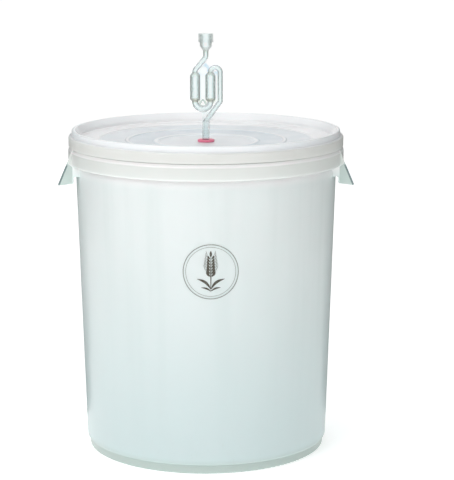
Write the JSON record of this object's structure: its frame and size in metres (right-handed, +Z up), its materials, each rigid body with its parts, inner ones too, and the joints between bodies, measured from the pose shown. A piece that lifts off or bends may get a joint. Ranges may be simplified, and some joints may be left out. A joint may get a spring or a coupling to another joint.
{
  "type": "plastic fermenting bucket",
  "caption": "tapered plastic fermenting bucket with two moulded hand grips, a snap-fit lid, a rubber grommet and a clear twin-chamber airlock with a push-on cap",
  "frame": {"origin": "on the bucket's axis, on the surface that its foot ring stands on", "axes": "+Z up along the bucket's axis, hand grips towards +X and -X, the airlock's flat seam in the XZ plane, front towards -Y"},
  "size_m": [0.3812, 0.36, 0.5456],
  "materials": {
    "bucket_plastic": "translucent natural white polypropylene, satin, faintly green where it is thick",
    "lid_plastic": "milky white polypropylene, satin",
    "gasket_rubber": "soft grey-white sealing rubber, matte",
    "grommet_rubber": "crimson rubber, smooth with a slight sheen",
    "airlock_plastic": "clear polystyrene with a faint green tint, glossy"
  },
  "bodies": {
    "bucket": {"bucket": "bucket_plastic"},
    "lid": {"lid": "lid_plastic", "lid_gasket": "gasket_rubber"},
    "grommet": {"grommet": "grommet_rubber"},
    "airlock": {"airlock_shell_front": "airlock_plastic", "airlock_shell_rear": "airlock_plastic"},
    "airlock_cap": {"airlock_cap": "airlock_plastic"}
  },
  "joints": [
    {"name": "lid_lift", "type": "slide", "parent": "bucket", "child": "lid", "axis": [0, 0, 1], "range_m": [0, 0.12]},
    {"name": "airlock_swivel", "type": "hinge", "parent": "lid", "child": "grommet", "pos_m": [0, 0, 0.4029], "axis": [0, 0, 1], "continuous": true},
    {"name": "airlock_pull", "type": "slide", "parent": "grommet", "child": "airlock", "axis": [0, 0, 1], "range_m": [0, 0.04]},
    {"name": "cap_lift", "type": "slide", "parent": "airlock", "child": "airlock_cap", "axis": [0, 0, 1], "range_m": [0, 0.025]}
  ]
}
